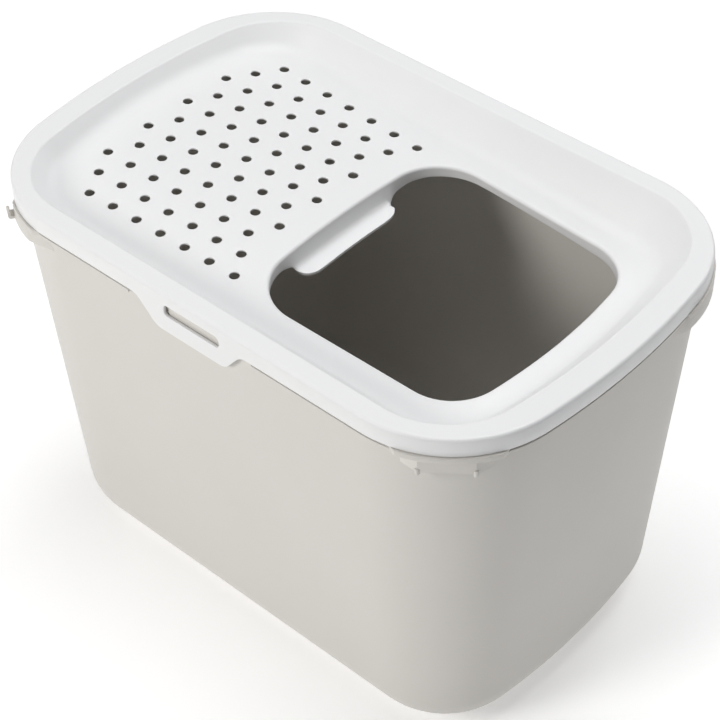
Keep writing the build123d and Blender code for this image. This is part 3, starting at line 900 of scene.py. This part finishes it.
# %% Make the ledge
corner_y = lid_plan[1] - lid_plan[3]
corner_x = lid_plan[0] - lid_plan[2] + sqrt((lid_plan[2] - lid_plan[3])**2 - corner_y**2)
corner_middle = (pi / 2 + asin(corner_y / (lid_plan[2] - lid_plan[3]))) / 2
ledge_bottom = ledge_top - ledge_thickness
ledge_groove = 2.5                                 # the shadow line left under the skirt
ledge_inset, gap_face = 0.8, 3.6                   # behind the skirt's face: the ledge, and in its gaps
gap_back = gap_face - ledge_inset
side_y = lid_plan[1] - ledge_inset
ledge_line, _ = bowed_outline(drawn_in(lid_plan, ledge_inset))
latch_gap, arm_gap = 69, 12.3
gaps = [(-1, latch_x - latch_gap, latch_x + latch_gap)]
gaps += [(1, x - arm_gap, x + arm_gap) for x in (-hinge_x, hinge_x)]


def on_long_side(side, y):
    return side * y > side_y - 0.1


def inside_gap(x, y):
    return any(on_long_side(side, y) and x0 < x < x1 for side, x0, x1 in gaps)


def with_gaps(line):
    """The ledge's outline, stepped back at each gap."""
    out = []
    for (x, y), (nx, ny) in zip(line, np.roll(line, -1, axis=0)):
        out.append((x, y))
        for side, x0, x1 in gaps:
            if on_long_side(side, y) and on_long_side(side, ny):
                lo, hi = sorted((x, nx))
                ends = [e for e in (x0, x1) if lo <= e < hi]
                for e in (ends if nx > x else ends[::-1]):
                    step = [(e, y), (e, y - side * gap_back)]
                    entering = (e == x0) == (nx > x)
                    out += step if entering else step[::-1]
    return [(x, y) for x, y in out if not inside_gap(x, y)]


# the ledge's inner edge is hidden half way through the bin's wall
share = ledge_bottom / bin_top
inner_plan = tuple(low + (high - low) * share - 1.2 for low, high in zip(bin_base_plan, bin_top_plan))
inner_line, _ = bowed_outline(inner_plan)
ledge_body = bmesh.new()
plate(ledge_body, with_gaps(ledge_line), ledge_bottom - ledge_groove, ledge_top - ledge_groove, upright,
      [[tuple(p) for p in inner_line]])
# the rib behind the slot, which the tab hooks over
rib_left, rib_right, rib_face, rib_back = slot_x - 28, slot_x + 32, -186.5, -184.2
rib = rounded([(rib_left, rib_face), (rib_right, rib_face), (rib_right, rib_back), (rib_left, rib_back)],
              [0.8, 0.8, 0, 0], reach=0.4)
plate(ledge_body, rib, slot_level - 7.0, slot_level + 5.2, upright)
soften_corners(ledge_body, 50)
finish_piece("bin_ledge", ledge_body, bin_grey, "bin_body", bevel=0.35)

# %% Make the corner grips
proud = lid_plan[3] + 2.0                          # a band's radius, past the skirt's
root, hidden = 103.0, 102.0                        # its ends' radius, and its side inside the ledge
face_thickness = 2.2
stop_radius, stop_inset = 2.0, 1.0
# a corner's end and side, the degrees where its band starts and ends, how far its grip's ends
# taper, and the degrees of its stops
corner_bands = ((1, -1, -20, 24, 8.5, (-9, 14.5)), (1, 1, -50, 24, 14, ()),
                (-1, -1, 10, 33, 14, ()), (-1, 1, 10, 33, 14, ()))


def round_corner(end, side, radius, degrees_off):
    """A point round one of the four corners; more degrees turn it towards the long side."""
    angle = corner_middle + radians(degrees_off)
    return (end * (corner_x + radius * cos(angle)), side * (corner_y + radius * sin(angle)))


grips = bmesh.new()
for end, side, first, last, taper, stop_angles in corner_bands:
    spot = partial(round_corner, end, side)
    angles = np.linspace(first, last, max(9, round((last - first) / 2.5)))
    band = [spot(root, first - 6)] + [spot(proud, a) for a in angles] + [spot(root, last + 6)]
    band += [spot(hidden, a) for a in angles[::-1]]
    plate(grips, band, ledge_top - 5.5, ledge_top - 0.6, upright)
    # a grip between two stops is flat, and the others follow the rim
    face = list(stop_angles) or list(np.linspace(first, last - 4, 15))
    low, high = face[0] - taper, face[-1] + taper
    grip = [spot(hidden, low)] + [spot(proud, a) for a in face] + [spot(hidden, high)]
    grip += [spot(hidden - face_thickness, high)] + [spot(proud - face_thickness, a) for a in face[::-1]]
    grip += [spot(hidden - face_thickness, low)]
    plate(grips, grip, ledge_top - 17.5, ledge_top - 2.6, upright)
    for angle in stop_angles:
        x, y = spot(proud - stop_inset, angle)
        plate(grips, circle(x, y, stop_radius, 20), ledge_top - 19.5, ledge_top - 14.0, upright)
soften_corners(grips)
finish_piece("corner_grips", grips, bin_grey, "bin_body", bevel=0.5)

# %% [markdown]
# Round the front left corner the photograph shows a small hook on the rim, with its end turned up.
# The back left corner is given the same one, by symmetry.

# %% Make the rim lugs
lug_angle = radians(238)
radial, sideways = Vector((cos(lug_angle), sin(lug_angle))), Vector((-sin(lug_angle), cos(lug_angle)))
lug_low, lug_high = ledge_top - 15.0, ledge_top - 9.0
lug_in, lug_out = proud - 2.2, proud + 5.6
half_thick, half_wide = 1.3, 5.0
hook = rounded([(lug_in, lug_low - half_thick), (lug_out, lug_low - half_thick), (lug_out, lug_high),
                (lug_out - 2 * half_thick, lug_high), (lug_out - 2 * half_thick, lug_low + half_thick),
                (lug_in, lug_low + half_thick)], [0, 3.0, 0.9, 0.9, 0.6, 0], reach=0.5)


def on_lug(u, v, w):
    at = Vector((-corner_x, -corner_y)) + radial * u + sideways * w
    return (at.x, at.y, v)


lugs = bmesh.new()
plate(lugs, hook, -half_wide, half_wide, on_lug)
soften_corners(lugs)
lugs = with_mirror_image(lugs, False, True, bin_grey)
finish_piece("rim_lugs", lugs, bin_grey, "bin_body", bevel=0.4)

# %% [markdown]
# The hinges are out of the photograph's sight. Each is an arm of the lid between two ears of the
# bin, on a pin, with a bar from ear to ear that stops the lid once it leans back past upright. An
# arm's and an ear's outline is the hull of its round end and its root.

# %% Make the hinge ears and arms
ear_thickness, ear_gap, arm_half = 5, 12.3, 12     # the gap's half and the arm's, along the pin
ear_hole, arm_hole = 3.02, 3.08                    # radii round the pin
stop_y, stop_z = hinge_y + 9, hinge_z - 6          # the bar that stops the lid
ear_root = [(y, z) for y in (179.75, 182.25) for z in (350.5, 372.5)]     # through the bin's wall
arm_root = [(y, z) for y in (187.2, 189.3) for z in (379.0, 386.0)]       # in the lid's skirt
ear_outline = hull(circle(hinge_y, hinge_z, 6.5, 48) + circle(stop_y, stop_z, 2.0, 24) + ear_root)
ears = bmesh.new()
for inner_face in (-ear_gap - ear_thickness, ear_gap):
    plate(ears, ear_outline, hinge_x + inner_face, hinge_x + inner_face + ear_thickness, across,
          [circle(hinge_y, hinge_z, ear_hole, 32)])
plate(ears, circle(stop_y, stop_z, 1.95, 24), hinge_x - 13, hinge_x + 13, across)
soften_corners(ears, 40)
ears = with_mirror_image(ears, True, False, bin_grey)
finish_piece("hinge_ears", ears, bin_grey, "bin_body", bevel=0.35)

arm_outline = hull(circle(hinge_y, hinge_z, 5.5, 48) + arm_root)
arms = bmesh.new()
plate(arms, arm_outline, hinge_x - arm_half, hinge_x + arm_half, across,
      [circle(hinge_y, hinge_z, arm_hole, 32)])
soften_corners(arms, 40)
arms = with_mirror_image(arms, True, False, lid_white)
finish_piece("hinge_arms", arms, lid_white, "lid_body", bevel=0.35)

# %% [markdown]
# The two pins are good as they come from the frame, so they stay and only get their finish.

# %% Finish the pins
for name in ("hinge_pin_left", "hinge_pin_right"):
    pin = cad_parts[name]
    pin.data.materials.clear()
    pin.data.materials.append(pin_white)
print("pins finished")

# %% [markdown]
# ## The floor and the light
# The photograph is a studio picture on white. A broad floor that is nearly white runs out past the
# view. One soft light hangs in front and to the left, a wide one overhead fills the dish, a third
# lights the back, and a weak pale sky does the rest. Seen straight by the camera, the sky and the
# far floor are white from every side, but they give the box no more light for it.

# %% Light it
floor_half = 8.0
floor_mesh = bpy.data.meshes.new("floor")
floor_mesh.from_pydata([(x * floor_half, y * floor_half, 0) for x, y in ((-1, -1), (1, -1), (1, 1), (-1, 1))],
                       [], [(0, 1, 2, 3)])
floor = bpy.data.objects.new("floor", floor_mesh)
scene.collection.objects.link(floor)
floor_white = bpy.data.materials.new("floor_white")
floor_white.use_nodes = True
surface = floor_white.node_tree.nodes["Principled BSDF"].inputs
surface["Base Color"].default_value = (0.92, 0.92, 0.92, 1)
surface["Roughness"].default_value = 0.9
surface["Emission Color"].default_value = (1, 1, 1, 1)
floor_glow, sky_glow = 0.31, 0.13


def brighter_in_view(tree, glow, extra, socket):
    """Set a strength to glow, plus an extra that only the camera sees."""
    seen = tree.nodes.new("ShaderNodeLightPath").outputs["Is Camera Ray"]
    tree.links.new(reckon(tree, "ADD", reckon(tree, "MULTIPLY", seen, extra), glow), socket)


tree = floor_white.node_tree
away = tree.nodes.new("ShaderNodeVectorMath")
away.operation = "LENGTH"
tree.links.new(tree.nodes.new("ShaderNodeTexCoord").outputs["Object"], away.inputs[0])
fade = tree.nodes.new("ShaderNodeMapRange")
for label, value in {"From Min": 0.9, "From Max": 3.0, "To Min": 0.0, "To Max": 0.8}.items():
    fade.inputs[label].default_value = value
tree.links.new(away.outputs["Value"], fade.inputs["Value"])
brighter_in_view(tree, floor_glow, fade.outputs[0], surface["Emission Strength"])
floor_mesh.materials.append(floor_white)


def soft_light(name, place, aim_at, size, power, colour=(1, 1, 1)):
    lamp = bpy.data.lights.new(name, "AREA")
    lamp.shape, lamp.size, lamp.energy, lamp.color = "DISK", size, power, colour
    holder = bpy.data.objects.new(name, lamp)
    holder.location = place
    holder.rotation_euler = (Vector(aim_at) - Vector(place)).to_track_quat("-Z", "Y").to_euler()
    scene.collection.objects.link(holder)
    return holder


soft_light("front_light", (-0.7, -2.3, 1.6), (0, 0, 0.2), 1.0, 33, (1.0, 0.985, 0.965))
soft_light("overhead_light", (0, 0.3, 2.6), (0, 0, 0.3), 1.8, 33, (0.99, 0.995, 1.0))
soft_light("back_light", (0, 2.3, 1.7), (0, 0, 0.3), 1.4, 18)
world = bpy.data.worlds.new("pale_room")
scene.world = world
world.use_nodes = True
sky = world.node_tree.nodes["Background"].inputs
sky["Color"].default_value = (0.97, 0.98, 1.0, 1)
brighter_in_view(world.node_tree, sky_glow, 1.0 - sky_glow, sky["Strength"])
scene.view_settings.view_transform = "Standard"
